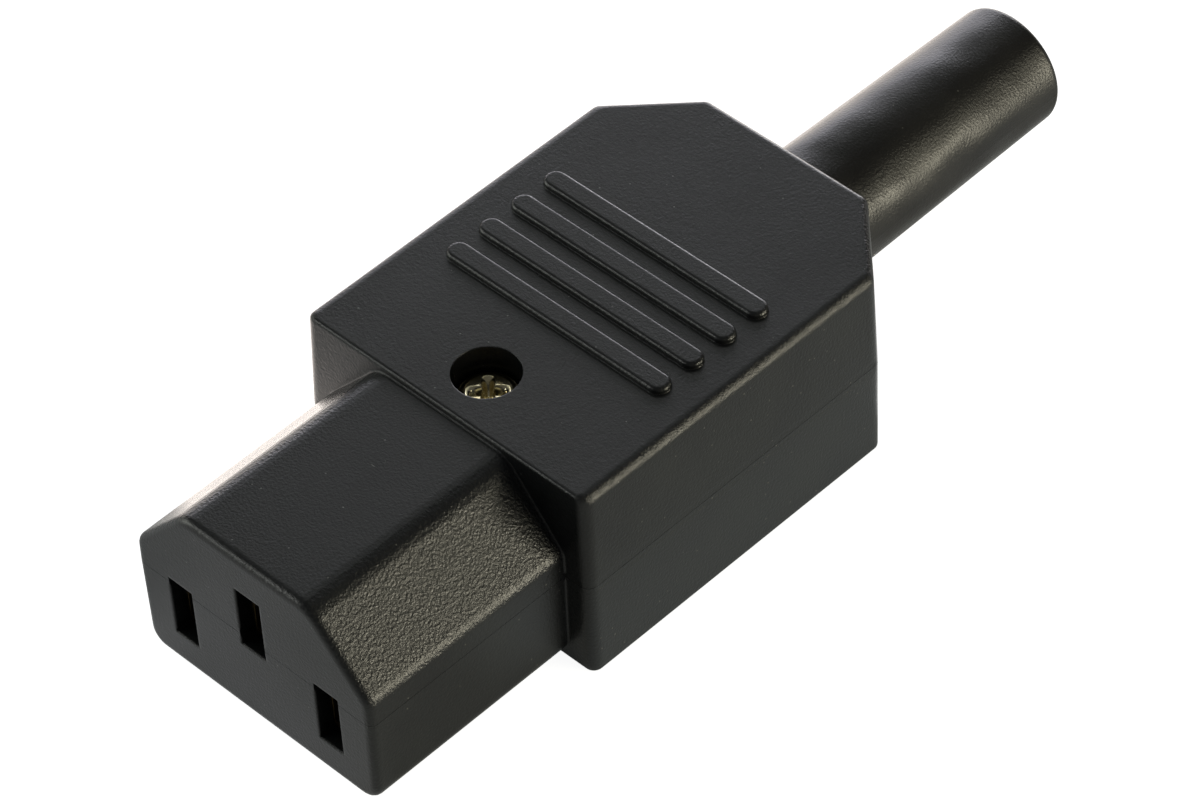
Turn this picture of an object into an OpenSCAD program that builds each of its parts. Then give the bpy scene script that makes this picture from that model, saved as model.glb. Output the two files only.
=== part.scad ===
// Rewirable C13 cable connector: two half shells around three brass contacts, with a rubber boot.
// The mating face looks towards -Y and the cord leaves towards +Y.
// The connector rests on its lower shell at Z = 0.

/* [Body] */
// Length of the body behind the nose
body_length = 34.4; // [30:0.1:40]
// Height of the body
body_height = 16.7; // [16.4:0.1:19]
// Width of the body at the parting plane
body_width = 26.9; // [26.5:0.1:30]
// Distance of the parting plane above the middle of the body
split_offset = 0.05; // [0:0.05:0.3]
// Lean of the upper shell's walls, away from the parting plane
upper_draft = 1.8; // [0.5:0.1:3.5]
// Lean of the lower shell's walls, away from the parting plane
lower_draft = 0.2; // [0.1:0.1:3]
// Leg of the two cut-off rear corners
rear_corner_cut = 5.8; // [4:0.1:7]
// Radius of the body's upright corners
corner_radius = 0.8; // [0.7:0.05:1.2]
// Rounding of the roof's side and rear edges
roof_edge_radius = 0.6; // [0.3:0.05:0.65]
// Rounding of the roof's front edge, above the nose
front_edge_radius = 0.25; // [0.15:0.05:0.3]
// Rounding of the edges of the underside
base_edge_radius = 0.3; // [0.2:0.05:0.5]
// Thickness of the outer walls, floor and roof
wall = 1.8; // [1.5:0.1:2]

/* [Nose] */
// Length of the nose in front of the body
nose_length = 18; // [17:0.1:20]
// Width of the nose at the parting plane
nose_width = 22.5; // [21.5:0.05:22.8]
// Depth of the nose below the parting plane
nose_depth = 7.9; // [7.5:0.05:8]
// Height of the nose
nose_height = 15.65; // [15.4:0.05:15.7]
// Width of each keying chamfer, along the roof
key_width = 5.15; // [4.5:0.05:6]
// Height of each keying chamfer, along the side
key_height = 5.65; // [5:0.05:6.5]
// Blend between the roof and the keying chamfers
ridge_radius = 2.4; // [1:0.1:2.6]
// Blend between the keying chamfers and the sides
shoulder_radius = 1.4; // [1:0.1:2.5]
// Blend between the sides and the underside of the nose
keel_radius = 1.5; // [1:0.1:2.5]
// Lean of the nose's sides, away from the parting plane
nose_draft = 1.2; // [0.5:0.1:1.5]
// Rounding around the mating face
face_edge_radius = 0.6; // [0.3:0.05:0.8]
// Fillet where the nose meets the body
root_fillet = 0.25; // [0.1:0.05:0.3]

/* [Slots and contacts] */
// Sideways distance of the live slots from the earth slot
pole_pitch = 7; // [6.8:0.05:7.2]
// Distance of the live slots' centres below the parting plane
live_drop = 2.25; // [2.1:0.05:2.4]
// Height of the earth slot's centre above the live slots' centres
earth_rise = 4; // [3.8:0.05:4.2]
// Width of the live slots
slot_width = 2.3; // [2.1:0.05:2.6]
// Extra width of the earth slot
earth_slot_extra = 0.1; // [0:0.05:0.3]
// Height of the slots
slot_height = 5.4; // [5:0.1:5.6]
// Thickness of the mating face in front of the contacts
face_thickness = 1.4; // [1.2:0.1:2]
// Outer width of the contact sleeves
sleeve_width = 3.4; // [3.2:0.1:3.6]
// Outer height of the contact sleeves
sleeve_height = 5.6; // [5.4:0.1:5.8]
// Length of the contact sleeves
sleeve_length = 14.4; // [13:0.1:15]
// Thickness of the brass sheet
sheet = 0.6; // [0.5:0.05:0.7]
// Width of the contact tails
tail_width = 2.6; // [2.2:0.1:2.8]

/* [Terminals] */
// Width of a terminal block
block_width = 4.8; // [4.4:0.1:5]
// Length of a terminal block
block_length = 7; // [6:0.1:7.5]
// Diameter of the wire bore
wire_bore = 2.8; // [2.4:0.1:2.8]
// Wall of the block above the tail and below the wire
block_wall = 1.4; // [1.2:0.1:1.4]
// Diameter of the grub screws
grub_diameter = 2.5; // [2:0.1:2.5]
// Distance of the live terminals' front ends behind the front of the body
live_block_start = 6.2; // [6:0.1:6.6]
// Space between the live terminals and the side walls
terminal_side_gap = 1; // [0.8:0.1:1.2]
// Space between the earth terminal and the recess in the roof above it
terminal_roof_gap = 0.6; // [0.5:0.05:0.8]
// Space between the earth terminal and the cord clamp
terminal_clamp_gap = 1.2; // [0.8:0.1:1.4]

/* [Shell screw] */
// Distance of the shell screw behind the front of the body
screw_setback = 4.5; // [4.2:0.1:4.7]
// Diameter of the counterbore in the upper shell
counterbore = 4.9; // [4.7:0.1:5.2]
// Depth of the counterbore
counterbore_depth = 3.4; // [3.2:0.1:4.4]
// Diameter of the shell screw's head
head_diameter = 4.3; // [4:0.1:4.5]
// Height of the shell screw's head at its rim
head_rim = 1.1; // [0.8:0.1:1.3]
// Rise of the dome on the shell screw's head
head_dome = 0.6; // [0.4:0.1:0.8]
// Diameter of the shell screw's shank
shank_diameter = 3; // [2.5:0.1:3]
// Width of the hex nut across its flats
nut_flats = 5.5; // [5:0.1:5.5]
// Thickness of the hex nut
nut_thickness = 2.4; // [2:0.1:2.6]

/* [Grip ribs] */
// Number of raised grip ribs
rib_count = 4; // [2:1:4]
// Spacing of the grip ribs
rib_pitch = 3.16; // [2.8:0.02:3.4]
// Distance of the first grip rib behind the front of the body
rib_start = 11.3; // [10.8:0.1:11.6]
// Overall length of a grip rib
rib_length = 20.6; // [18:0.1:22]
// Width of a grip rib
rib_width = 1.75; // [1.6:0.05:2.1]
// Height of a grip rib above the roof
rib_height = 0.5; // [0.4:0.05:0.6]

/* [Strain relief] */
// Length of the boot behind the body
boot_length = 23.7; // [20:0.1:30]
// Diameter of the boot where it leaves the body
boot_diameter = 10.2; // [9.8:0.1:10.6]
// Diameter of the boot at its open end
boot_end_diameter = 9.6; // [9.4:0.1:10.6]
// Bore that the cord passes through
cord_bore = 6.8; // [6:0.1:7]
// Diameter of the neck in the rear wall
neck_diameter = 8.8; // [8.4:0.1:9]
// Diameter of the flange held behind the rear wall
flange_diameter = 12; // [11.5:0.1:12.4]
// Thickness of the flange
flange_thickness = 2; // [1.5:0.1:2.2]

/* [Cord clamp] */
// Distance of the cord clamp ahead of the back of the body
clamp_setback = 9.2; // [9:0.1:9.6]
// Length of the clamp along the cord
clamp_length = 4.4; // [4:0.1:4.6]
// Space between the clamp's ends and the side walls
clamp_side_gap = 1.4; // [1.2:0.1:1.6]
// Height of the clamp's feet above the parting plane
clamp_seat = 1.25; // [1:0.05:1.4]
// Thickness of the clamp's feet
clamp_foot = 2; // [1.6:0.1:2.2]
// Thickness of the clamp's arch over the cord
clamp_arch = 1.8; // [1.4:0.1:2]
// Diameter of the bosses under the clamp screws
clamp_boss = 5; // [4.6:0.1:5.2]
// Diameter of the clamp screws' heads
clamp_head_diameter = 4; // [3.6:0.1:4.2]
// Height of the clamp screws' heads at their rims
clamp_head_rim = 0.9; // [0.7:0.1:1]
// Rise of the domes on the clamp screws' heads
clamp_head_dome = 0.5; // [0.3:0.1:0.6]
// Diameter of the clamp screws' shanks
clamp_shank_diameter = 2.2; // [2:0.1:2.4]
// Length of the clamp screws' thread inside the bosses
clamp_screw_bite = 5.4; // [4:0.1:5.8]
// Diameter of the cord that the clamp is shaped for
cord_diameter = 6.5; // [6:0.1:6.6]

/* [Fits] */
// Play around the contacts, the nut and the terminals
play = 0.1; // [0.05:0.01:0.15]
// Width of the hairline seam between the half shells
seam_gap = 0.03; // [0.02:0.01:0.12]
// Depth of the hairline seam
seam_depth = 0.8; // [0.5:0.1:0.9]

/* [Hidden] */

$fn = 48;
hull_fn = 32;
film = 0.02;
plastic = "#1c1d1e";
rubber = "#232120";
brass = "#b8974e";
plated = "#c6b98f";
zinc = "#9fa3a6";

// Stations along Y, from the mating face to the end of the boot
total_length = nose_length + body_length + boot_length;
face_y = -total_length / 2;
front_y = face_y + nose_length;
back_y = front_y + body_length;
boot_end_y = back_y + boot_length;
reach = total_length;
room_front_y = front_y + 2;
room_back_y = back_y - rear_corner_cut;
sleeve_y = face_y + face_thickness;
sleeve_end_y = sleeve_y + sleeve_length;
screw_y = front_y + screw_setback;
live_block_y = front_y + live_block_start;
clamp_y = back_y - clamp_setback;
earth_block_y = clamp_y - clamp_length / 2 - terminal_clamp_gap - block_length;

// Levels along Z
split_height = body_height / 2 + split_offset;
roof_height = body_height - wall;
nose_floor = split_height - nose_depth;
nose_roof = nose_floor + nose_height;
live_height = split_height - live_drop;
earth_height = live_height + earth_rise;
head_seat_height = body_height - counterbore_depth;
boss_height = split_height + clamp_seat;
block_height = block_wall + wire_bore + sheet + play + block_wall;

// Widths across X
upper_lean = tan(upper_draft);
lower_lean = tan(lower_draft);
room_half_width = body_width / 2 - max(upper_lean, lower_lean) * split_height - wall;
post_radius = 3.5;
live_block_offset = room_half_width - terminal_side_gap - block_width / 2;
clamp_screw_offset = room_half_width - clamp_side_gap - clamp_length / 2;

// Route of the earth tail, which swings round the screw post and comes back to the middle
swing = post_radius + tail_width / 2 + 0.5;
earth_path = [
  [0, sleeve_end_y - 1],
  [0, sleeve_end_y + 0.2],
  [swing, screw_y - 2],
  [swing, screw_y + 3],
  [0, earth_block_y - 1.4],
  [0, earth_block_y + block_length - 2]
];

// Centre of the arc of radius r that rounds corner b of the outline a, b, c
function unit(v) = v / norm(v);
function arc_centre(a, b, c, r) =
  let (
    u = unit(a - b),
    w = unit(c - b),
    m = unit(u + w)
  )
  b + m * r / abs(u.x * m.y - u.y * m.x);

// Depths below a face at which a rounding of radius r is stepped, and how far the side stands back there
function round_depths(r) = [for (t = [0:22.5:90]) r * (1 - sin(t))];
function set_back(r, depth) = depth < r ? r - sqrt(r * r - (r - depth) * (r - depth)) : 0;

// A thin plate of the body's outline at height z, leaning in by lean, with its edges set back by rounding
module body_layer(z, lean, round_inset, front_inset) {
  cut = tan(22.5);
  e = corner_radius + lean;
  half = body_width / 2;
  for (side = [-1, 1])
    for (c = [
      [half - e, front_y + e + front_inset - round_inset],
      [half - e, back_y - rear_corner_cut - e * cut],
      [half - rear_corner_cut - e * cut, back_y - e]
    ])
      translate([side * c.x, c.y, z])
        cylinder(r = corner_radius - round_inset, h = film, $fn = hull_fn);
}

// The whole body: widest at the parting plane, with drafted walls and rounded edges
module body_form() {
  hull() {
    body_layer(split_height - film / 2, 0, 0, 0);
    for (d = concat(round_depths(roof_edge_radius), round_depths(front_edge_radius)))
      body_layer(body_height - d - film, upper_lean * (body_height - d - split_height),
        set_back(roof_edge_radius, d), set_back(front_edge_radius, d));
    for (d = round_depths(base_edge_radius))
      body_layer(d, lower_lean * (split_height - d),
        set_back(base_edge_radius, d), set_back(base_edge_radius, d));
  }
}

// A thin plate of the nose's section at station y, with the outline moved in by inset
module nose_layer(y, inset) {
  half = nose_width / 2;
  shoulder_z = nose_roof - key_height;
  lean = tan(nose_draft);
  ridge = [half - key_width, nose_roof];
  shoulder = [half - lean * (shoulder_z - split_height), shoulder_z];
  seam = [half, split_height];
  keel = [half - lean * (split_height - nose_floor), nose_floor];
  arcs = [
    [arc_centre([0, nose_roof], ridge, shoulder, ridge_radius), ridge_radius],
    [arc_centre(ridge, shoulder, seam, shoulder_radius), shoulder_radius],
    [seam - [shoulder_radius, 0], shoulder_radius],
    [arc_centre(seam, keel, [0, nose_floor], keel_radius), keel_radius]
  ];
  for (side = [-1, 1])
    for (a = arcs)
      translate([side * a[0].x, y, a[0].y])
        rotate([-90, 0, 0])
          cylinder(r = a[1] - inset, h = film, $fn = hull_fn);
}

// The whole nose, with a rounded front edge and a small fillet at its root
module nose_form() {
  hull() {
    for (d = round_depths(face_edge_radius))
      nose_layer(face_y + d, set_back(face_edge_radius, d));
    nose_layer(front_y + wall, 0);
  }
  hull() {
    nose_layer(front_y - root_fillet, 0);
    nose_layer(front_y, -root_fillet);
    nose_layer(front_y + wall, -root_fillet);
  }
}

// Everything above (side = 1) or below (side = -1) the parting plane
module half_space(side) {
  translate([-reach, -reach, side > 0 ? split_height : split_height - reach])
    cube([2 * reach, 2 * reach, reach]);
}

// Box given by its X centre, its width, its Y range and its Z range
module bar(x, width, y_range, z_range) {
  translate([x - width / 2, y_range[0], z_range[0]])
    cube([width, y_range[1] - y_range[0], z_range[1] - z_range[0]]);
}

// Cylinder along Y between two stations, on the axis of the cord
module cord_cylinder(diameter, y_range) {
  translate([0, y_range[0], split_height])
    rotate([-90, 0, 0])
      cylinder(d = diameter, h = y_range[1] - y_range[0]);
}

// Wiring room inside the body, with its rear corners cut like the outside
module wiring_room() {
  translate([0, 0, wall])
    linear_extrude(roof_height - wall)
      polygon([
        [-room_half_width, room_front_y],
        [room_half_width, room_front_y],
        [room_half_width, room_back_y - wall],
        [room_half_width - wall, room_back_y],
        [-room_half_width + wall, room_back_y],
        [-room_half_width, room_back_y - wall]
      ]);
}

// The slot in the mating face and the channel behind it for one contact
module contact_channel(x, z, width) {
  bar(x, width, [face_y - 1, sleeve_y + 1], [z - slot_height / 2, z + slot_height / 2]);
  bar(x, sleeve_width + 2 * play, [sleeve_y, room_front_y + 1],
    [z - sleeve_height / 2, z + sleeve_height / 2 + play]);
}

module contact_channels() {
  for (side = [-1, 1])
    contact_channel(side * pole_pitch, live_height, slot_width);
  contact_channel(0, earth_height, slot_width + earth_slot_extra);
}

// Space for the boot: the neck's hole in the rear wall, the flange's pocket and the cord's way in
module boot_seat() {
  flange_y = back_y - wall - flange_thickness;
  cord_cylinder(neck_diameter + play, [back_y - wall - 1, back_y + 1]);
  cord_cylinder(flange_diameter + play, [flange_y - play, back_y - wall]);
  cord_cylinder(cord_bore + 0.4, [room_back_y - 1, back_y]);
}

// Upright bore on the shell screw's axis
module screw_bore(diameter, z_range) {
  translate([0, screw_y, z_range[0]])
    cylinder(d = diameter, h = z_range[1] - z_range[0]);
}

// The strip along the parting plane where the outer edges of the halves stand apart
module seam_relief() {
  inset = seam_depth;
  half = body_width / 2 - inset;
  half_nose = nose_width / 2 - inset;
  difference() {
    bar(0, reach, [face_y - 1, back_y + 1], [split_height - 1, split_height + seam_gap]);
    bar(0, 2 * half_nose, [face_y + inset, front_y + inset + 1], [split_height - 2, split_height + 1]);
    translate([0, 0, split_height - 2])
      linear_extrude(3)
        polygon([
          [-half, front_y + inset],
          [half, front_y + inset],
          [half, back_y - rear_corner_cut - inset * tan(22.5)],
          [half - rear_corner_cut + inset * tan(22.5), back_y - inset],
          [-half + rear_corner_cut - inset * tan(22.5), back_y - inset],
          [-half, back_y - rear_corner_cut - inset * tan(22.5)]
        ]);
  }
}

// The tongues on the lower rim, or with room > 0 the grooves for them in the upper rim
module tongues(room) {
  tongue_width = 0.7;
  tongue_height = 0.8;
  x = room_half_width + 0.35 + tongue_width / 2;
  for (side = [-1, 1])
    bar(side * x, tongue_width + 2 * room, [room_front_y + 4 - room, room_back_y - 3 + room],
      [split_height - 0.5, split_height + tongue_height + room]);
}

// One raised grip rib: a rounded bar with round ends
module grip_rib() {
  half = rib_width / 2;
  straight = rib_length - rib_width;
  round_edge = 0.3;
  module half_section() {
    square([half, rib_height - round_edge]);
    square([half - round_edge, rib_height]);
    translate([half - round_edge, rib_height - round_edge])
      intersection() {
        circle(round_edge);
        square(round_edge);
      }
    translate([0, -wall / 2])
      square([half, wall / 2]);
  }
  translate([-straight / 2, 0, 0])
    rotate([90, 0, 90])
      linear_extrude(straight) {
        half_section();
        mirror([1, 0])
          half_section();
      }
  for (side = [-1, 1])
    translate([side * straight / 2, 0, 0])
      rotate_extrude()
        half_section();
}

// Way through the upper shell's front wall for the earth tail, open towards the parting plane
module earth_tail_relief() {
  translate([0, 0, split_height - 1])
    linear_extrude(tail_height(earth_height) + sheet + play - split_height + 1)
      strip_plan(earth_path, tail_width + 4 * play);
}

// Shallow recess in the roof over the earth terminal
module terminal_recess() {
  top = block_floor(earth_height) + block_height + terminal_roof_gap;
  bar(0, block_width + 2 * terminal_side_gap,
    [earth_block_y - terminal_side_gap, earth_block_y + block_length + terminal_side_gap],
    [split_height, top]);
}

// Ledges under a terminal block, with lips beside it
module block_cradle(x, y, top) {
  lip = 1;
  rib = 1.2;
  for (station = [y + 0.6, y + block_length - 0.6 - rib])
    difference() {
      bar(x, block_width + 2 * play + 2 * lip, [station, station + rib], [wall - 0.5, top + 1.2]);
      bar(x, block_width + 2 * play, [station - 1, station + rib + 1], [top, top + 2]);
    }
}

function tail_height(z) = z + sleeve_height / 2 - sheet;
function block_floor(z) = tail_height(z) - wire_bore - block_wall;

module upper_shell() {
  color(plastic)
    difference() {
      union() {
        difference() {
          intersection() {
            union() {
              body_form();
              nose_form();
            }
            half_space(1);
          }
          wiring_room();
        }
        translate([0, screw_y, split_height])
          cylinder(r = post_radius, h = roof_height - split_height + 0.5);
        for (k = [0 : rib_count - 1])
          translate([0, front_y + rib_start + k * rib_pitch, body_height])
            grip_rib();
      }
      contact_channels();
      earth_tail_relief();
      terminal_recess();
      boot_seat();
      seam_relief();
      tongues(play);
      screw_bore(counterbore, [head_seat_height, body_height + 1]);
      screw_bore(shank_diameter + 0.3, [split_height - 1, head_seat_height + 1]);
    }
}

module lower_shell() {
  nut_room = nut_thickness + 1;
  color(plastic)
    difference() {
      union() {
        difference() {
          intersection() {
            union() {
              body_form();
              nose_form();
            }
            half_space(-1);
          }
          wiring_room();
        }
        tongues(0);
        translate([0, screw_y, wall - 0.5])
          cylinder(r = post_radius, h = split_height - wall + 0.5);
        translate([0, screw_y, wall - 0.5])
          cylinder(r = nut_flats / sqrt(3) + 1, h = nut_room - wall + 2);
        for (side = [-1, 1]) {
          block_cradle(side * live_block_offset, live_block_y, block_floor(live_height));
          translate([side * clamp_screw_offset, clamp_y, wall - 0.5])
            cylinder(d = clamp_boss, h = boss_height - wall + 0.5);
        }
        block_cradle(0, earth_block_y, block_floor(earth_height));
        cord_saddle();
      }
      contact_channels();
      boot_seat();
      screw_bore(shank_diameter + 0.3, [0.5, split_height + 1]);
      translate([0, screw_y, -1])
        rotate(30)
          cylinder(r = (nut_flats + 2 * play) / sqrt(3), h = nut_room + 1, $fn = 6);
      for (side = [-1, 1])
        translate([side * clamp_screw_offset, clamp_y, wall + 1])
          cylinder(d = clamp_shank_diameter + play, h = boss_height);
    }
}

// Two ridges on the floor that the cord is pressed against
module cord_saddle() {
  for (station = [clamp_y - 1.6, clamp_y + 0.6])
    difference() {
      bar(0, cord_diameter + 1, [station, station + 1], [wall - 0.5, split_height - 1.4]);
      cord_cylinder(cord_diameter + 0.2, [station - 1, station + 2]);
    }
}

module strain_relief_boot() {
  end_round = 0.6;
  neck_y = back_y - wall;
  bore_radius = cord_bore / 2;
  end_radius = boot_end_diameter / 2;
  section = [
    [bore_radius, neck_y - flange_thickness],
    [flange_diameter / 2, neck_y - flange_thickness],
    [flange_diameter / 2, neck_y],
    [neck_diameter / 2, neck_y],
    [neck_diameter / 2, back_y + play / 2],
    [boot_diameter / 2, back_y + play / 2],
    [end_radius, boot_end_y - end_round],
    [end_radius - end_round, boot_end_y],
    [bore_radius, boot_end_y]
  ];
  color(rubber)
    translate([0, 0, split_height])
      rotate([-90, 0, 0])
        rotate_extrude($fn = 72) {
          polygon(section);
          translate([end_radius - end_round, boot_end_y - end_round])
            circle(end_round);
        }
}

// Four tapering arms of a cross recess, cut from the top down
module cross_recess(size, depth) {
  arm = size * 0.22;
  for (turn = [0, 90])
    rotate(turn)
      translate([0, 0, -depth])
        rotate([90, 0, 0])
          linear_extrude(arm, center = true)
            polygon([
              [-size * 0.18, 0],
              [size * 0.18, 0],
              [size / 2, depth + 1],
              [-size / 2, depth + 1]
            ]);
}

// Pan-head screw with a domed top, standing on z = 0 under its head
module pan_screw(head_d, rim, dome, shank_d, shank_length, recess) {
  dome_radius = (head_d * head_d / 4 + dome * dome) / (2 * dome);
  difference() {
    union() {
      intersection() {
        cylinder(d = head_d, h = rim + dome);
        translate([0, 0, rim + dome - dome_radius])
          sphere(r = dome_radius, $fn = 96);
      }
      translate([0, 0, -shank_length])
        cylinder(d = shank_d, h = shank_length + rim / 2);
    }
    translate([0, 0, rim + dome])
      cross_recess(recess, rim);
  }
}

module shell_screw() {
  color(plated)
    translate([0, screw_y, head_seat_height])
      rotate(45)
        pan_screw(head_diameter, head_rim, head_dome, shank_diameter,
          head_seat_height - 0.8, head_diameter * 0.6);
}

module shell_nut() {
  bevel = 0.3;
  radius = nut_flats / sqrt(3);
  color(zinc)
    translate([0, screw_y, 1])
      difference() {
        intersection() {
          rotate(30)
            cylinder(r = radius, h = nut_thickness, $fn = 6);
          rotate_extrude()
            polygon([
              [0, 0],
              [nut_flats / 2 + 0.1, 0],
              [radius + 0.1, bevel],
              [radius + 0.1, nut_thickness - bevel],
              [nut_flats / 2 + 0.1, nut_thickness],
              [0, nut_thickness]
            ]);
        }
        translate([0, 0, -1])
          cylinder(d = shank_diameter + 0.02, h = nut_thickness + 2);
      }
}

// Folded sleeve with an open seam below and two inward springs, its front edges at the mating face
module sleeve(x, z) {
  bow = 0.25;
  bow_radius = 7;
  spring_y = sleeve_y + sleeve_length * 0.4;
  difference() {
    bar(x, sleeve_width, [sleeve_y, sleeve_end_y], [z - sleeve_height / 2, z + sleeve_height / 2]);
    bar(x, sleeve_width - 2 * sheet, [sleeve_y - 1, sleeve_end_y + 1],
      [z - sleeve_height / 2 + sheet, z + sleeve_height / 2 - sheet]);
    bar(x, 0.8, [sleeve_y - 1, sleeve_end_y + 1], [z - sleeve_height, z]);
    for (side = [-1, 1])
      for (edge = [-1, 1])
        bar(x + side * sleeve_width / 2, 2, [spring_y - 3.4, spring_y + 3.4],
          [z + edge * 1.5 - 0.15, z + edge * 1.5 + 0.15]);
  }
  for (side = [-1, 1])
    intersection() {
      translate([x + side * (sleeve_width / 2 - sheet - bow + bow_radius), spring_y, z - 1.3])
        cylinder(r = bow_radius, h = 2.6);
      bar(x + side * (sleeve_width / 2 - sheet), 2 * bow, [spring_y - 3, spring_y + 3], [z - 1.3, z + 1.3]);
    }
}

// Plan of a strip of the given width along a path, with round bends
module strip_plan(path, width) {
  for (i = [0 : len(path) - 2]) {
    a = path[i];
    b = path[i + 1];
    along = unit(b - a);
    across = [-along.y, along.x] * width / 2;
    polygon([a + across, b + across, b - across, a - across]);
    translate(b)
      circle(d = width);
  }
}

// Flat tail along a path, at the level of the sleeve's roof
module tail(z, path) {
  translate([0, 0, tail_height(z)])
    linear_extrude(sheet)
      strip_plan(path, tail_width);
}

module live_contact(side) {
  color(brass) {
    sleeve(side * pole_pitch, live_height);
    tail(live_height, [
      [side * pole_pitch, sleeve_end_y - 1],
      [side * pole_pitch, room_front_y + 0.6],
      [side * live_block_offset, live_block_y - 0.6],
      [side * live_block_offset, live_block_y + block_length - 2]
    ]);
  }
}

module line_contact() {
  live_contact(-1);
}

module neutral_contact() {
  live_contact(1);
}

module earth_contact() {
  color(brass) {
    sleeve(0, earth_height);
    tail(earth_height, earth_path);
  }
}

// Brass block with a wire bore along Y, a slot for the tail above it and a tapped hole from the top
module terminal_block(x, y, z) {
  bevel = 0.35;
  half = block_width / 2;
  floor_z = block_floor(z);
  top_z = floor_z + block_height;
  color(brass)
    difference() {
      translate([x, y + block_length, 0])
        rotate([90, 0, 0])
          linear_extrude(block_length)
            polygon([
              [-half + bevel, floor_z],
              [half - bevel, floor_z],
              [half, floor_z + bevel],
              [half, top_z - bevel],
              [half - bevel, top_z],
              [-half + bevel, top_z],
              [-half, top_z - bevel],
              [-half, floor_z + bevel]
            ]);
      translate([x, y - 1, floor_z + block_wall + wire_bore / 2])
        rotate([-90, 0, 0])
          cylinder(d = wire_bore, h = block_length + 2);
      bar(x, tail_width + 2 * play, [y - 1, y + block_length + 1],
        [floor_z + block_wall + wire_bore * 0.8, tail_height(z) + sheet + play]);
      translate([x, y + block_length / 2, tail_height(z)])
        cylinder(d = grub_diameter + 0.04, h = block_height);
    }
}

module line_terminal() {
  terminal_block(-live_block_offset, live_block_y, live_height);
}

module neutral_terminal() {
  terminal_block(live_block_offset, live_block_y, live_height);
}

module earth_terminal() {
  terminal_block(0, earth_block_y, earth_height);
}

// Slotted grub screw that presses on the tail
module grub_screw(x, y, z) {
  length = play + block_wall;
  slot_depth = 0.8;
  color(plated)
    translate([x, y + block_length / 2, tail_height(z) + sheet])
      difference() {
        cylinder(d = grub_diameter, h = length);
        translate([-2, -0.25, length - slot_depth])
          cube([4, 0.5, 2]);
      }
}

module line_terminal_screw() {
  grub_screw(-live_block_offset, live_block_y, live_height);
}

module neutral_terminal_screw() {
  grub_screw(live_block_offset, live_block_y, live_height);
}

module earth_terminal_screw() {
  grub_screw(0, earth_block_y, earth_height);
}

// Saddle with two flat feet and an arch over the cord
module cord_clamp() {
  y_range = [clamp_y - clamp_length / 2, clamp_y + clamp_length / 2];
  color(plastic)
    difference() {
      union() {
        bar(0, 2 * clamp_screw_offset, y_range, [boss_height, boss_height + clamp_foot]);
        intersection() {
          cord_cylinder(cord_diameter + 2 * clamp_arch, y_range);
          bar(0, reach, [y_range[0] - 1, y_range[1] + 1], [boss_height, body_height]);
        }
        for (side = [-1, 1])
          translate([side * clamp_screw_offset, clamp_y, boss_height])
            cylinder(d = clamp_length, h = clamp_foot);
      }
      cord_cylinder(cord_diameter + 0.1, [y_range[0] - 1, y_range[1] + 1]);
      for (side = [-1, 1])
        translate([side * clamp_screw_offset, clamp_y, boss_height - 1])
          cylinder(d = clamp_shank_diameter + 3 * play, h = clamp_foot + 2);
    }
}

module clamp_screw(side) {
  color(zinc)
    translate([side * clamp_screw_offset, clamp_y, boss_height + clamp_foot])
      pan_screw(clamp_head_diameter, clamp_head_rim, clamp_head_dome, clamp_shank_diameter,
        clamp_foot + clamp_screw_bite, clamp_head_diameter * 0.55);
}

module left_clamp_screw() {
  clamp_screw(-1);
}

module right_clamp_screw() {
  clamp_screw(1);
}

upper_shell();
lower_shell();
strain_relief_boot();
shell_screw();
shell_nut();
line_contact();
neutral_contact();
earth_contact();
line_terminal();
neutral_terminal();
earth_terminal();
line_terminal_screw();
neutral_terminal_screw();
earth_terminal_screw();
cord_clamp();
left_clamp_screw();
right_clamp_screw();
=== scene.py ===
import bpy
import math
from mathutils import Matrix, Vector


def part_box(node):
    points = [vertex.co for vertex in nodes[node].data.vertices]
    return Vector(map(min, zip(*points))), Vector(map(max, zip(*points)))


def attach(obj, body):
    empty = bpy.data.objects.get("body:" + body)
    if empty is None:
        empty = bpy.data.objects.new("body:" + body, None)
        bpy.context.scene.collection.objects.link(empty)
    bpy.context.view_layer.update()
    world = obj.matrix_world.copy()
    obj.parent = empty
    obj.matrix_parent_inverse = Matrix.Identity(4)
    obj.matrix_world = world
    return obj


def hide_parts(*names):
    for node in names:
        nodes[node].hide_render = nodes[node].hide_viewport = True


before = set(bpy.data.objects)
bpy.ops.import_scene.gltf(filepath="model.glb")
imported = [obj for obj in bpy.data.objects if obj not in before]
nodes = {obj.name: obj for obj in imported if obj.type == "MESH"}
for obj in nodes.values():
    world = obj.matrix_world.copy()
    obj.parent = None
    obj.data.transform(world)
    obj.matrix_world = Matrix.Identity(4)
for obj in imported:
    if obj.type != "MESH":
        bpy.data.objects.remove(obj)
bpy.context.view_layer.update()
scene = bpy.context.scene
scene.view_settings.view_transform = "Standard"
mm = 0.001
print("frame loaded:", len(nodes), "pieces")


def linearColour(hexText, alpha=1.0):
    # sRGB hex to the linear values that the shaders use
    channels = [int(hexText[i:i + 2], 16) / 255 for i in (1, 3, 5)]
    linear = [c / 12.92 if c <= 0.04045 else ((c + 0.055) / 1.055) ** 2.4 for c in channels]
    return (*linear, alpha)


def addNode(tree, kind, settings=None, inputs=None):
    # one node with its settings; an input is a value, a hex colour, a socket, or a node, whose first output
    # is then used
    node = tree.nodes.new(kind)
    for name, value in (settings or {}).items():
        setattr(node, name, value)
    for key, value in (inputs or {}).items():
        if isinstance(value, bpy.types.Node):
            value = value.outputs[0]
        if isinstance(value, bpy.types.NodeSocket):
            tree.links.new(value, node.inputs[key])
        elif isinstance(value, str):
            node.inputs[key].default_value = linearColour(value)
        else:
            node.inputs[key].default_value = value
    return node


def newMaterial(name):
    material = bpy.data.materials.new(name)
    material.use_nodes = True
    material.node_tree.nodes.clear()
    return material, material.node_tree


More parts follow.
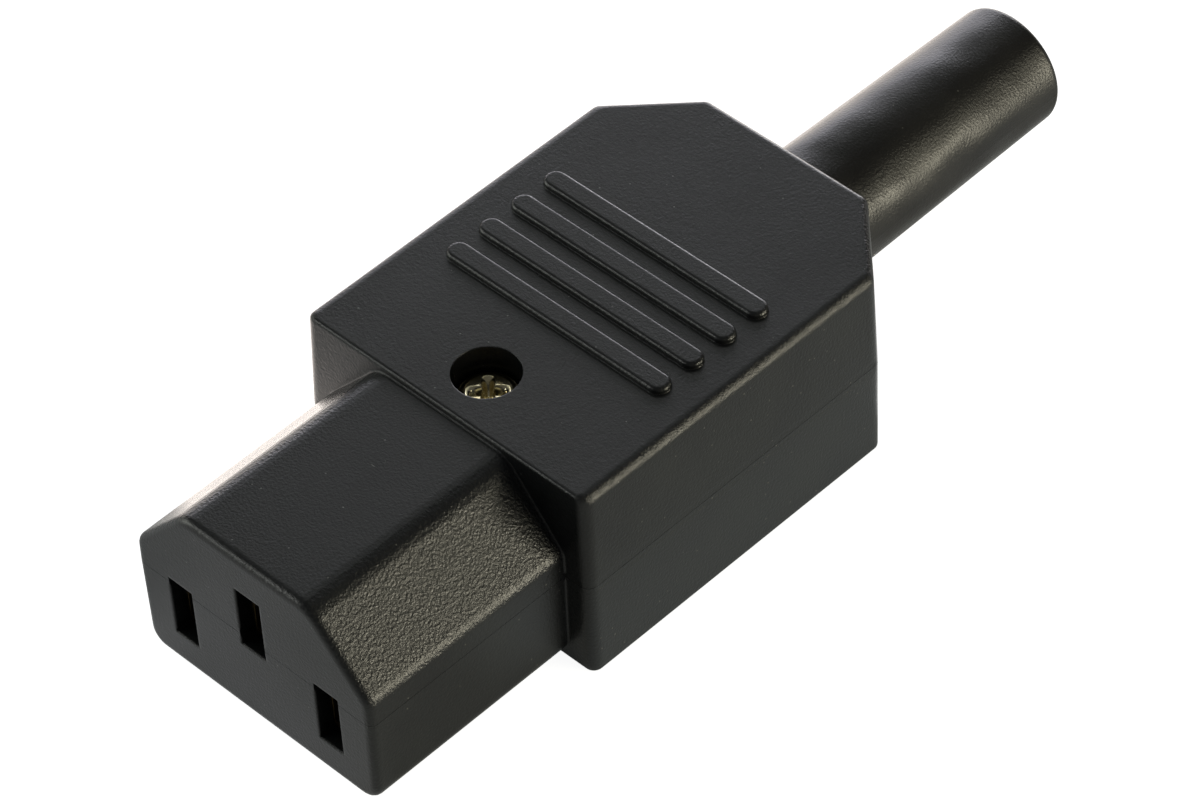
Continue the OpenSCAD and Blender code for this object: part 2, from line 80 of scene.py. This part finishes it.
# Camera: a long lens that looks down at the front right of the connector
cameraSet = {
    "azimuth": 46.55,
    "elevation": 45.62,
    "roll": -3.43,
    "distance": 349.53 * mm,
    "aim": Vector((1.558, -6.743, 8.4)) * mm,
    "lens": 152.74,
    "sensor": 36,
    "clip": (0.01, 20),
}


def viewDirection(azimuth, elevation):
    # from the object to the eye; azimuth 0 stands in front and 90 at the right
    a, e = math.radians(azimuth), math.radians(elevation)
    return Vector((math.sin(a) * math.cos(e), -math.cos(a) * math.cos(e), math.sin(e)))


def makeCamera(s):
    data = bpy.data.cameras.new("camera")
    data.lens = s["lens"]
    data.sensor_width = s["sensor"]
    data.clip_start, data.clip_end = s["clip"]
    camera = bpy.data.objects.new("camera", data)
    scene.collection.objects.link(camera)
    towards = viewDirection(s["azimuth"], s["elevation"])
    aimed = towards.to_track_quat("Z", "Y").to_matrix().to_4x4()
    turned = aimed @ Matrix.Rotation(math.radians(s["roll"]), 4, "Z")
    camera.matrix_world = Matrix.Translation(s["aim"] + towards * s["distance"]) @ turned
    scene.camera = camera


makeCamera(cameraSet)
print("camera placed")


def specks(tree, space, size, spacing, share):
    # 1 inside sparse round dots with a soft rim: one dot for a share of the cells of a grid
    radius = 0.5 * size / spacing
    cells = addNode(tree, "ShaderNodeTexVoronoi", inputs={"Vector": space, "Scale": 1 / spacing})
    dot = addNode(tree, "ShaderNodeMapRange", inputs={
        "Value": cells.outputs["Distance"], "From Min": radius, "From Max": 0.7 * radius})
    pick = addNode(tree, "ShaderNodeSeparateColor", inputs={0: cells.outputs["Color"]})
    chosen = addNode(tree, "ShaderNodeMath", {"operation": "LESS_THAN"}, {0: pick, 1: share})
    return addNode(tree, "ShaderNodeMath", {"operation": "MULTIPLY"}, {0: dot, 1: chosen})


def softEdges(tree, radius, bend=(0.985, 0.86)):
    # the rounded normal, and a mask that rises where the surface bends within that radius;
    # bend gives the cosines between which it rises from 0 to 1
    soft = addNode(tree, "ShaderNodeBevel", {"samples": 6}, {"Radius": radius})
    flat = addNode(tree, "ShaderNodeNewGeometry").outputs["Normal"]
    same = addNode(tree, "ShaderNodeVectorMath", {"operation": "DOT_PRODUCT"}, {0: soft, 1: flat})
    mask = addNode(tree, "ShaderNodeMapRange", inputs={
        "Value": same.outputs["Value"], "From Min": bend[0], "From Max": bend[1]})
    return soft, mask


# A noise texture lies mostly between 0.3 and 0.7, and the ranges that follow it stretch that span
noiseSpan = (0.3, 0.7)
grazingSpan = (0.6, 0.92)  # values of Facing between which the gloss at grazing angles sets in


def patchyGloss(tree, patches, s):
    # roughness that changes with the patches and falls at grazing angles, as on moulded skins
    base = addNode(tree, "ShaderNodeMapRange", inputs={
        "Value": patches, "From Min": noiseSpan[0], "From Max": noiseSpan[1],
        "To Min": s["roughness"][0], "To Max": s["roughness"][1]})
    facing = addNode(tree, "ShaderNodeLayerWeight", inputs={"Blend": 0.5}).outputs["Facing"]
    sheen = addNode(tree, "ShaderNodeMapRange", inputs={
        "Value": facing, "From Min": grazingSpan[0], "From Max": grazingSpan[1], "To Max": s["grazing"]})
    return addNode(tree, "ShaderNodeMath", {"operation": "SUBTRACT"}, {0: base, 1: sheen})


def finishMaterial(tree, colour, roughness, normal, values):
    skin = addNode(tree, "ShaderNodeBsdfPrincipled", inputs={
        "Base Color": colour, "Roughness": roughness, "Normal": normal, **values})
    addNode(tree, "ShaderNodeOutputMaterial", inputs={"Surface": skin})


# Shell: black ABS from a spark-eroded mould. The eye sees a satin black with a fine pebbly grain,
# calm on the flats and sparkling on the slopes, and softly polished edges.
shellSet = {
    "dark": "#0f1011",
    "light": "#161818",
    "worn": "#2b2b29",
    "dust": "#8e8e88",
    "patch": 7 * mm,  # size of the slow changes of tone
    "grain": 0.21 * mm,  # such pits are 0.1 to 0.2 mm wide, and are drawn at the coarse end so that they show
    "grainDepth": 0.028 * mm,
    "slopeGrainDepth": 0.07 * mm,  # on slopes, where the eroded skin is deeper
    "slopes": (0.12, 0.3),  # slant over which the depth changes, 0 on flats and 0.5 at 45 degrees
    "fine": 0.1 * mm,  # roughness of the pebbles, which is finer in truth and would not show
    "fineDepth": 0.004 * mm,
    "edge": 0.3 * mm,  # over this the edges are softened and polished by handling
    "rib": 0.12 * mm,  # the same for the crisp edges of the ribs and the screw's hole
    "roofEdge": 0.85 * mm,  # the same for the long edges of the roof, which are rounder
    "roofEdgeFrom": (12.2 * mm, 12.5 * mm),  # distance from the middle at which the roof's edges begin
    "roof": (16.45 * mm, 16.55 * mm),  # height from which the ribs' radius holds
    "split": 8.45 * mm,  # height of the parting line, whose lips stay sharp
    "splitLips": (0.2 * mm, 0.5 * mm),  # distances from it between which the softening sets in
    "roughness": (0.31, 0.37),
    "grazing": 0.2,  # how much glossier it is at grazing angles
    "ior": 1.5,
    "dustSize": 0.14 * mm,
    "dustSpacing": 1.0 * mm,
    "dustShare": 0.45,
    "dustCover": 0.35,  # how far the dust hides the plastic
    "scuffStretch": (0.25, 1.4, 1),  # scuffs are specks drawn out across the connector
    "scuffSpacing": 1.2 * mm,
    "scuffShare": 0.135,
    "spot": 1.2 * mm,  # size of the spots in which the edges are worn
    "wearCover": 0.5,
    "wearPolish": 0.06,  # how much smoother the worn spots are
}


def mouldedAbs(s):
    material, tree = newMaterial("spark_eroded_black_abs")
    place = addNode(tree, "ShaderNodeTexCoord")
    space = place.outputs["Object"]
    at = addNode(tree, "ShaderNodeSeparateXYZ", inputs={0: space})
    # edge radius: crisp on the ribs, wide along the roof's long edges, sharp at the parting line
    side = addNode(tree, "ShaderNodeMath", {"operation": "ABSOLUTE"}, {0: at.outputs["X"]})
    inner = addNode(tree, "ShaderNodeMapRange", inputs={
        "Value": at.outputs["Z"], "From Min": s["roof"][0], "From Max": s["roof"][1],
        "To Min": s["edge"], "To Max": s["rib"]})
    wide = addNode(tree, "ShaderNodeMapRange", inputs={
        "Value": side, "From Min": s["roofEdgeFrom"][0], "From Max": s["roofEdgeFrom"][1],
        "To Min": inner, "To Max": s["roofEdge"]})
    offSplit = addNode(tree, "ShaderNodeMath", {"operation": "SUBTRACT"}, {0: at.outputs["Z"], 1: s["split"]})
    offSplit = addNode(tree, "ShaderNodeMath", {"operation": "ABSOLUTE"}, {0: offSplit})
    offSplit = addNode(tree, "ShaderNodeMapRange", inputs={
        "Value": offSplit, "From Min": s["splitLips"][0], "From Max": s["splitLips"][1]})
    radius = addNode(tree, "ShaderNodeMath", {"operation": "MULTIPLY"}, {0: wide, 1: offSplit})
    soft, edge = softEdges(tree, radius)
    # tone: slow patches, then handled edges, then sparse dust and short scuffs
    patches = addNode(tree, "ShaderNodeTexNoise", inputs={
        "Vector": space, "Scale": 1 / s["patch"], "Detail": 4, "Roughness": 0.6})
    level = addNode(tree, "ShaderNodeMapRange", inputs={"Value": patches, "From Min": 0.35, "From Max": 0.65})
    tone = addNode(tree, "ShaderNodeMix", {"data_type": "RGBA"}, {0: level, 6: s["dark"], 7: s["light"]})
    spots = addNode(tree, "ShaderNodeTexNoise", inputs={
        "Vector": space, "Scale": 1 / s["spot"], "Detail": 3, "Roughness": 0.7})
    spots = addNode(tree, "ShaderNodeMapRange", inputs={"Value": spots, "From Min": 0.4, "From Max": 0.7})
    wear = addNode(tree, "ShaderNodeMath", {"operation": "MULTIPLY"}, {0: edge, 1: spots})
    amount = addNode(tree, "ShaderNodeMath", {"operation": "MULTIPLY"}, {0: wear, 1: s["wearCover"]})
    tone = addNode(tree, "ShaderNodeMix", {"data_type": "RGBA"}, {0: amount, 6: tone.outputs[2], 7: s["worn"]})
    dust = specks(tree, space, s["dustSize"], s["dustSpacing"], s["dustShare"])
    drawn = addNode(tree, "ShaderNodeMapping", inputs={"Vector": space, "Scale": s["scuffStretch"]})
    scuffs = specks(tree, drawn, s["dustSize"], s["scuffSpacing"], s["scuffShare"])
    marks = addNode(tree, "ShaderNodeMath", {"operation": "MAXIMUM"}, {0: dust, 1: scuffs})
    amount = addNode(tree, "ShaderNodeMath", {"operation": "MULTIPLY"}, {0: marks, 1: s["dustCover"]})
    tone = addNode(tree, "ShaderNodeMix", {"data_type": "RGBA"}, {0: amount, 6: tone.outputs[2], 7: s["dust"]})
    # relief: pebbles of the eroded mould, deeper on slopes, with a finer grain on top of them
    pebbles = addNode(tree, "ShaderNodeTexNoise", inputs={
        "Vector": space, "Scale": 1 / s["grain"], "Detail": 2.5, "Roughness": 0.55})
    facet = addNode(tree, "ShaderNodeSeparateXYZ", inputs={0: place.outputs["Normal"]})
    slant = addNode(tree, "ShaderNodeMath", {"operation": "ABSOLUTE"}, {0: facet.outputs["X"]})
    slant = addNode(tree, "ShaderNodeMath", {"operation": "MULTIPLY"}, {0: slant, 1: facet.outputs["Z"]})
    depth = addNode(tree, "ShaderNodeMapRange", inputs={
        "Value": slant, "From Min": s["slopes"][0], "From Max": s["slopes"][1],
        "To Min": s["grainDepth"], "To Max": s["slopeGrainDepth"]})
    relief = addNode(tree, "ShaderNodeBump", inputs={"Height": pebbles, "Distance": depth, "Normal": soft})
    fine = addNode(tree, "ShaderNodeTexNoise", inputs={"Vector": space, "Scale": 1 / s["fine"], "Detail": 1})
    relief = addNode(tree, "ShaderNodeBump", inputs={
        "Height": fine, "Distance": s["fineDepth"], "Normal": relief})
    # gloss: patchy, a little higher on worn edges
    gloss = patchyGloss(tree, patches, s)
    polish = addNode(tree, "ShaderNodeMath", {"operation": "MULTIPLY"}, {0: wear, 1: s["wearPolish"]})
    gloss = addNode(tree, "ShaderNodeMath", {"operation": "SUBTRACT"}, {0: gloss, 1: polish})
    finishMaterial(tree, tone.outputs[2], gloss, relief, {"IOR": s["ior"]})
    return material


# Boot: soft moulded PVC. The eye sees a duller, browner black than the shell, with a granular skin
# and slow waves that break its long highlight.
bootSet = {
    "dark": "#131210",
    "light": "#1b1a18",
    "dust": "#7d7b75",
    "stretch": (1, 0.75, 1),  # draws the patches and waves out along the boot
    "patch": 4 * mm,
    "wave": 5 * mm,
    "waveDepth": 0.5 * mm,
    "grain": 0.18 * mm,  # drawn as coarse as it needs to show, as a matt PVC skin has a finer one
    "grainDepth": 0.034 * mm,
    "roughness": (0.32, 0.4),
    "grazing": 0.2,
    "ior": 1.45,
    "dustSize": 0.14 * mm,
    "dustSpacing": 1.0 * mm,
    "dustShare": 0.45,
    "dustCover": 0.35,
}


def softPvc(s):
    material, tree = newMaterial("moulded_black_pvc")
    space = addNode(tree, "ShaderNodeTexCoord").outputs["Object"]
    along = addNode(tree, "ShaderNodeMapping", inputs={"Vector": space, "Scale": s["stretch"]})
    patches = addNode(tree, "ShaderNodeTexNoise", inputs={
        "Vector": along, "Scale": 1 / s["patch"], "Detail": 4, "Roughness": 0.6})
    level = addNode(tree, "ShaderNodeMapRange", inputs={"Value": patches, "From Min": 0.35, "From Max": 0.65})
    tone = addNode(tree, "ShaderNodeMix", {"data_type": "RGBA"}, {0: level, 6: s["dark"], 7: s["light"]})
    dust = specks(tree, space, s["dustSize"], s["dustSpacing"], s["dustShare"])
    amount = addNode(tree, "ShaderNodeMath", {"operation": "MULTIPLY"}, {0: dust, 1: s["dustCover"]})
    tone = addNode(tree, "ShaderNodeMix", {"data_type": "RGBA"}, {0: amount, 6: tone.outputs[2], 7: s["dust"]})
    waves = addNode(tree, "ShaderNodeTexNoise", inputs={"Vector": along, "Scale": 1 / s["wave"], "Detail": 1})
    relief = addNode(tree, "ShaderNodeBump", inputs={"Height": waves, "Distance": s["waveDepth"]})
    grain = addNode(tree, "ShaderNodeTexNoise", inputs={
        "Vector": space, "Scale": 1 / s["grain"], "Detail": 2.5, "Roughness": 0.55})
    relief = addNode(tree, "ShaderNodeBump", inputs={
        "Height": grain, "Distance": s["grainDepth"], "Normal": relief})
    finishMaterial(tree, tone.outputs[2], patchyGloss(tree, patches, s), relief, {"IOR": s["ior"]})
    return material


# Metals, each with its own tone, tool marks and patchy tarnish. The eye sees dull stamped brass contacts,
# brighter sawn brass terminals, screws in yellowish nickel plate that glint, and grey zinc-plated steel.
tarnishSize = 1.5 * mm
metalEdge = 0.1 * mm  # over this the edges are rounded and rubbed bright
metalEdgeShine = 0.6
metalSets = {
    "stamped_brass": {"bright": "#57492f", "dull": "#362e24", "marks": (1, 6, 1), "size": 0.4 * mm,
                      "depth": 0.004 * mm, "roughness": (0.5, 0.65)},
    "sawn_brass": {"bright": "#bf9b58", "dull": "#80653a", "marks": (8, 1, 1), "size": 0.5 * mm,
                   "depth": 0.006 * mm, "roughness": (0.28, 0.46)},
    "yellow_nickel_plate": {"bright": "#f0e6c4", "dull": "#c4b27c", "marks": (1, 1, 1), "size": 0.6 * mm,
                            "depth": 0.012 * mm, "roughness": (0.12, 0.2)},
    "zinc_plate": {"bright": "#c3c6c8", "dull": "#84888a", "marks": (1, 1, 3), "size": 0.4 * mm,
                   "depth": 0.008 * mm, "roughness": (0.25, 0.42)},
}


def plainMetal(name, s):
    material, tree = newMaterial(name)
    space = addNode(tree, "ShaderNodeTexCoord").outputs["Object"]
    drawn = addNode(tree, "ShaderNodeMapping", inputs={"Vector": space, "Scale": s["marks"]})
    tarnish = addNode(tree, "ShaderNodeTexNoise", inputs={
        "Vector": space, "Scale": 1 / tarnishSize, "Detail": 4, "Roughness": 0.65})
    tarnish = addNode(tree, "ShaderNodeMapRange", inputs={"Value": tarnish, "From Min": 0.4, "From Max": 0.65})
    tone = addNode(tree, "ShaderNodeMix", {"data_type": "RGBA"}, {0: tarnish, 6: s["bright"], 7: s["dull"]})
    soft, edge = softEdges(tree, metalEdge)
    amount = addNode(tree, "ShaderNodeMath", {"operation": "MULTIPLY"}, {0: edge, 1: metalEdgeShine})
    tone = addNode(tree, "ShaderNodeMix", {"data_type": "RGBA"}, {
        0: amount, 6: tone.outputs[2], 7: s["bright"]})
    marks = addNode(tree, "ShaderNodeTexNoise", inputs={
        "Vector": drawn, "Scale": 1 / s["size"], "Detail": 3, "Roughness": 0.55})
    relief = addNode(tree, "ShaderNodeBump", inputs={"Height": marks, "Distance": s["depth"], "Normal": soft})
    gloss = addNode(tree, "ShaderNodeMapRange", inputs={
        "Value": tarnish, "To Min": s["roughness"][0], "To Max": s["roughness"][1]})
    finishMaterial(tree, tone.outputs[2], gloss, relief, {"Metallic": 1.0})
    return material


def assign(material, *names):
    for name in names:
        data = nodes[name].data
        data.materials.clear()
        data.materials.append(material)


metals = {name: plainMetal(name, s) for name, s in metalSets.items()}
assign(mouldedAbs(shellSet), "upper_shell", "lower_shell", "cord_clamp")
assign(softPvc(bootSet), "strain_relief_boot")
assign(metals["stamped_brass"], "line_contact", "neutral_contact", "earth_contact")
assign(metals["sawn_brass"], "line_terminal", "neutral_terminal", "earth_terminal")
assign(metals["yellow_nickel_plate"], "line_terminal_screw", "neutral_terminal_screw", "earth_terminal_screw")
assign(metals["zinc_plate"], "shell_nut", "left_clamp_screw", "right_clamp_screw")
print("materials made")


# Shell screw: a pan head with a cross recess and a rolled thread, in the CAD screw's place
screwSet = {
    "head": 4.3 * mm,
    "flat": 3.1 * mm,  # width of the nearly flat middle of the head
    "sag": 0.2,  # how far that middle is domed, as a share of its height above the rim
    "rim": 1.25 * mm,  # height of the head's edge above its seat
    "headHeight": 1.68 * mm,
    "chamfer": 0.1 * mm,  # under the head
    "armLength": 1.5 * mm,  # from the middle to the end of each arm of the recess
    "armWidth": 0.8 * mm,
    "armWall": 0.36 * mm,  # width over which the recess's walls slope
    "recessDepth": 1.0 * mm,
    "turn": 45,  # of the recess, in degrees
    "shank": 3.0 * mm,
    "pitch": 0.5 * mm,
    "threadDepth": 0.15 * mm,
    "tip": 0.2 * mm,  # how far the thread narrows at its tip
    "points": (0.02 * mm, 0.01 * mm),  # radius of the rings that close the tip and the middle of the head
    "around": 144,  # points round the screw
    "rings": 80,  # rows of points over the head
}


def smooth(low, high, value):
    t = min(max((value - low) / (high - low), 0), 1)
    return t * t * (3 - 2 * t)


def headTop(s, x, y):
    # height of the head above its rim: a soft dome less the cross-shaped recess
    r = math.hypot(x, y)
    edge = s["head"] / 2
    crown = s["headHeight"] - s["rim"]
    slope = smooth(s["flat"] / 2, edge, r)
    height = crown * (1 - s["sag"] * (r / edge) ** 2) * (1 - slope)
    turn = math.radians(s["turn"])
    u = abs(x * math.cos(turn) + y * math.sin(turn))
    v = abs(y * math.cos(turn) - x * math.sin(turn))
    cut = 0
    for along, across in ((u, v), (v, u)):
        # each arm is deepest from the middle to a quarter of its length, and its walls lean outwards
        wall = 1 - smooth(s["armWidth"] / 2 - s["armWall"], s["armWidth"] / 2 + 0.3 * s["armWall"], across)
        cut = max(cut, wall * (1 - smooth(0.25 * s["armLength"], s["armLength"], along)))
    return height - s["recessDepth"] * cut


def makeScrew(s, node):
    low, high = (Vector(c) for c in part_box(node))
    centre = (low + high) / 2
    seat = high.z - s["headHeight"]
    around, rings = s["around"], s["rings"]
    verts, faces = [], []

    def ring(points):
        # a closed row of points, joined to the row before it
        start = len(verts)
        verts.extend(points)
        if start >= around:
            for i in range(around):
                j = (i + 1) % around
                faces.append((start - around + i, start - around + j, start + j, start + i))

    def circle(radius, height):
        # radius and height are numbers, or functions of the angle and the place
        points = []
        for i in range(around):
            a = 2 * math.pi * i / around
            r = radius(a) if callable(radius) else radius
            x, y = r * math.cos(a), r * math.sin(a)
            points.append((centre.x + x, centre.y + y, height(x, y) if callable(height) else height))
        return points

    def top(x, y):
        return seat + s["rim"] + headTop(s, x, y)

    # thread from the tip up to the seat, then the head's underside, side and top
    turnSteps = 6  # rows in one turn of the thread
    tip, core = low.z, s["shank"] / 2 - s["threadDepth"]
    steps = int((seat - tip) / (s["pitch"] / turnSteps))
    ring(circle(s["points"][0], tip))
    ring(circle(core - s["tip"], tip))
    for k in range(1, steps):
        z = tip + (seat - tip) * k / steps
        grow = min(1, k / turnSteps)

        def threaded(a, z=z, grow=grow):
            wave = abs(2 * ((z / s["pitch"] - a / (2 * math.pi)) % 1) - 1)
            return core + grow * s["threadDepth"] * wave - (1 - grow) * s["tip"]

        ring(circle(threaded, z))
    ring(circle(core, seat))
    ring(circle(s["head"] / 2 - s["chamfer"], seat))
    ring(circle(s["head"] / 2, seat + s["chamfer"]))
    for k in range(rings):
        share = (1 - k / rings) ** 0.8  # rows lie closer near the edge
        ring(circle(s["head"] / 2 * share, top))
    ring(circle(s["points"][1], top))
    last = len(verts) - around
    faces.append(tuple(range(around - 1, -1, -1)))
    faces.append(tuple(range(last, last + around)))
    mesh = bpy.data.meshes.new(node + "_detail")
    mesh.from_pydata(verts, [], faces)
    mesh.polygons.foreach_set("use_smooth", [True] * len(mesh.polygons))
    mesh.update()
    screw = bpy.data.objects.new(node + "_detail", mesh)
    scene.collection.objects.link(screw)
    mesh.materials.append(metals["yellow_nickel_plate"])
    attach(screw, "root")
    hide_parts(node)


makeScrew(screwSet, "shell_screw")
print("shell screw made")


# Floor: a smooth pale sheet that keeps a soft shadow and reads as white behind the connector
floorSet = {
    "size": 6.0,
    "colour": "#e4e4e4",
    "lift": 0.92,  # light added for the eye only, so that the sheet reads as white
    "mirrorColour": "#f8fef8",
    "mirrorLift": 0.118,  # the same for reflections
}
# Painted reflections: patches of the sheet that glow, though they are no lamps, and that only reflections see.
# They paint highlights on the connector, such as the bright left chamfer of the nose.
# Along x and y a glowing patch fades in between the first two numbers and out between the last two.
reflectionGlowSet = {
    "front": {"x": (10 * mm, 4 * mm), "y": (-34 * mm, -40 * mm), "lift": 0.1, "colour": "#f6f8ff"},
    "foot": {"x": (-16 * mm, -12 * mm, 8 * mm, 14 * mm), "y": (-46 * mm, -40 * mm, -37 * mm, -35 * mm),
             "lift": 0.2, "colour": "#fbfbff"},
    "right": {"x": (12 * mm, 14 * mm, 17 * mm, 27 * mm), "y": (-26 * mm, -20 * mm),
              "lift": 0.2, "colour": "#eefbff"},
    "rear": {"x": (6 * mm, 8 * mm, 13 * mm, 16 * mm), "y": (11 * mm, 13 * mm, 19 * mm, 24 * mm),
             "lift": 1.0, "colour": "#ffffff"},
    "left": {"x": (-12 * mm, -19 * mm), "y": (-28 * mm, -26.2 * mm), "lift": 1.62, "colour": "#fff2ea"},
}


def fade(tree, value, stops):
    # 1 between the middle stops, or past the second of two
    inside = addNode(tree, "ShaderNodeMapRange", inputs={
        "Value": value, "From Min": stops[0], "From Max": stops[1]})
    if len(stops) == 4:
        out = addNode(tree, "ShaderNodeMapRange", inputs={
            "Value": value, "From Min": stops[3], "From Max": stops[2]})
        inside = addNode(tree, "ShaderNodeMath", {"operation": "MULTIPLY"}, {0: inside, 1: out})
    return inside


def makeFloor(s, reflectionGlows):
    mesh = bpy.data.meshes.new("floor")
    half = s["size"] / 2
    corners = [(-half, -half, 0), (half, -half, 0), (half, half, 0), (-half, half, 0)]
    mesh.from_pydata(corners, [], [(0, 1, 2, 3)])
    floor = bpy.data.objects.new("floor", mesh)
    scene.collection.objects.link(floor)
    material, tree = newMaterial("pale_paper")
    surface = addNode(tree, "ShaderNodeBsdfDiffuse", inputs={"Color": s["colour"]})
    path = addNode(tree, "ShaderNodeLightPath")
    place = addNode(tree, "ShaderNodeTexCoord").outputs["Object"]
    at = addNode(tree, "ShaderNodeSeparateXYZ", inputs={0: place})
    forEye = addNode(tree, "ShaderNodeMath", {"operation": "MULTIPLY"}, {
        0: path.outputs["Is Camera Ray"], 1: s["lift"]})
    glows = [addNode(tree, "ShaderNodeEmission", inputs={"Strength": forEye})]
    everywhere = {"lift": s["mirrorLift"], "colour": s["mirrorColour"]}
    # painted reflections: glow that only reflections see, even over the sheet and stronger in each patch, with
    # no lamp there
    for glowPatch in (everywhere, *reflectionGlows.values()):
        inside = path.outputs["Is Glossy Ray"]
        for axis in "xy":
            if axis in glowPatch:
                part = fade(tree, at.outputs[axis.upper()], glowPatch[axis])
                inside = addNode(tree, "ShaderNodeMath", {"operation": "MULTIPLY"}, {0: inside, 1: part})
        strength = addNode(tree, "ShaderNodeMath", {"operation": "MULTIPLY"}, {0: inside, 1: glowPatch["lift"]})
        glows.append(addNode(tree, "ShaderNodeEmission", inputs={
            "Color": glowPatch["colour"], "Strength": strength}))
    for glow in glows:
        surface = addNode(tree, "ShaderNodeAddShader", inputs={0: surface, 1: glow})
    addNode(tree, "ShaderNodeOutputMaterial", inputs={"Surface": surface})
    mesh.materials.append(material)


makeFloor(floorSet, reflectionGlowSet)

# Soft boxes and the room around them, all at one distance; size is width and height, power is in watts
lampDistance = 0.6
lampAim = Vector((0, 0, 8)) * mm
lampSet = {
    # lights all that faces up
    "overhead": {"azimuth": 226, "elevation": 46, "size": (0.6, 0.6), "power": 0.27, "colour": "#f8fff7"},
    # its bright middle, which the screw and the grain glint with
    "core": {"azimuth": 230, "elevation": 46.5, "size": (0.07, 0.07), "power": 0.036, "colour": "#ffffff"},
    # thin line along the rear edge
    "brim": {"azimuth": 208, "elevation": 6, "size": (0.1, 0.15), "power": 0.27, "colour": "#ffffff"},
    # pale left side of the boot and of the nose
    "back": {"azimuth": 225, "elevation": 12, "size": (0.45, 0.3), "power": 1.34, "colour": "#f6f5ff"},
    # left shoulder of the nose
    "left": {"azimuth": 305, "elevation": 15, "size": (0.4, 0.3), "power": 1.17, "colour": "#fafff4"},
    # thin line along the front top edge
    "line": {"azimuth": 325, "elevation": 28, "size": (0.1, 0.1), "power": 0.2, "colour": "#ffffff"},
    # right side of the boot
    "right": {"azimuth": 105, "elevation": 10, "size": (0.2, 0.2), "power": 0.7, "colour": "#fff8dc"},
    # right top edge and right shoulder
    "rim": {"azimuth": 123, "elevation": 25, "size": (0.12, 0.12), "power": 0.36, "colour": "#fff9de"},
    # lower half of the right top edge
    "horizon": {"azimuth": 117, "elevation": 2, "size": (0.2, 0.06), "power": 1.85, "colour": "#fff8df"},
}
roomSet = {"colour": "#fbfdff", "strength": 0.095}


def makeLamp(name, s):
    data = bpy.data.lights.new(name, "AREA")
    data.shape = "RECTANGLE"
    data.size, data.size_y = s["size"]
    data.energy = s["power"]
    data.color = linearColour(s["colour"])[:3]
    lamp = bpy.data.objects.new(name, data)
    scene.collection.objects.link(lamp)
    towards = viewDirection(s["azimuth"], s["elevation"])
    turn = towards.to_track_quat("Z", "Y").to_matrix().to_4x4()
    lamp.matrix_world = Matrix.Translation(lampAim + towards * lampDistance) @ turn


def makeRoom(s):
    world = bpy.data.worlds.new("room")
    scene.world = world
    world.use_nodes = True
    world.node_tree.nodes.clear()
    wall = addNode(world.node_tree, "ShaderNodeBackground", inputs={
        "Color": s["colour"], "Strength": s["strength"]})
    addNode(world.node_tree, "ShaderNodeOutputWorld", inputs={"Surface": wall})


for name, s in lampSet.items():
    makeLamp(name, s)
makeRoom(roomSet)
print("lights set")
